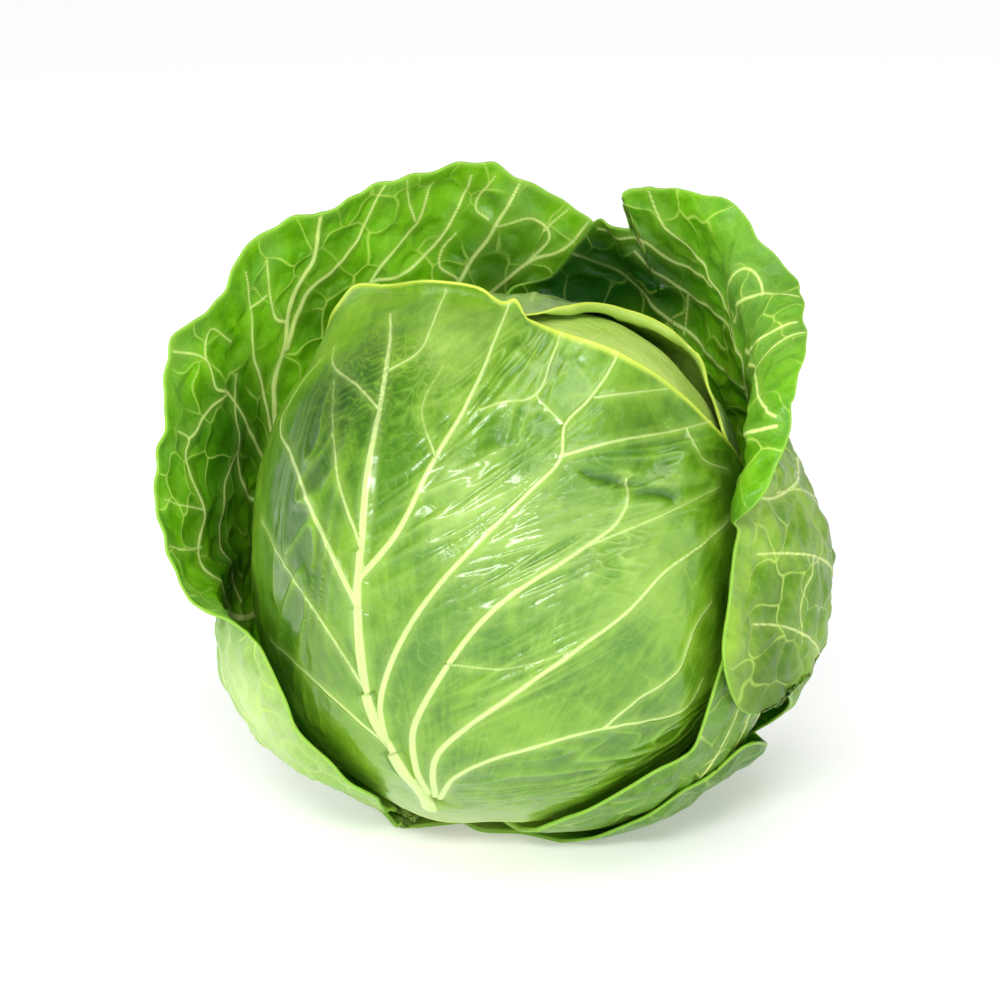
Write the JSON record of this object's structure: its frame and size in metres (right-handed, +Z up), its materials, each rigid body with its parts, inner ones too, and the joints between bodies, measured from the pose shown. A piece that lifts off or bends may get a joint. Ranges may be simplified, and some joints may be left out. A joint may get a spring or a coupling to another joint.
{
  "type": "cabbage head",
  "caption": "Round leafy head of cabbage: a tight ball wrapped in pale leaves, cupped by loose dark outer leaves, resting on a pressed flat spot.",
  "frame": {"origin": "middle of the pressed flat spot under the head, on the surface that it rests on", "axes": "+Z is up from the resting surface. +Y runs from the large front wrapper leaf to the back of the head. +X points to the right outer leaf."},
  "size_m": [0.2334, 0.198, 0.2218],
  "materials": {
    "heart_leaf": "smooth waxy pale green leaf with pale veins",
    "cut_stalk": "cut fibrous stalk, matt, nearly white",
    "wrapper_leaf": "glossy waxy light green leaf with raised pale veins",
    "mid_leaf": "satin green leaf with pale veins",
    "outer_leaf": "satin dark green leaf with a net of pale veins and a faint bloom"
  },
  "bodies": {
    "root": {"heart": "heart_leaf", "stalk": "cut_stalk", "inner_wrapper_leaf": "wrapper_leaf", "front_wrapper_leaf": "wrapper_leaf", "lower_right_leaf": "mid_leaf", "right_outer_leaf": "outer_leaf", "left_outer_leaf": "outer_leaf", "under_leaf": "outer_leaf"}
  },
  "joints": []
}
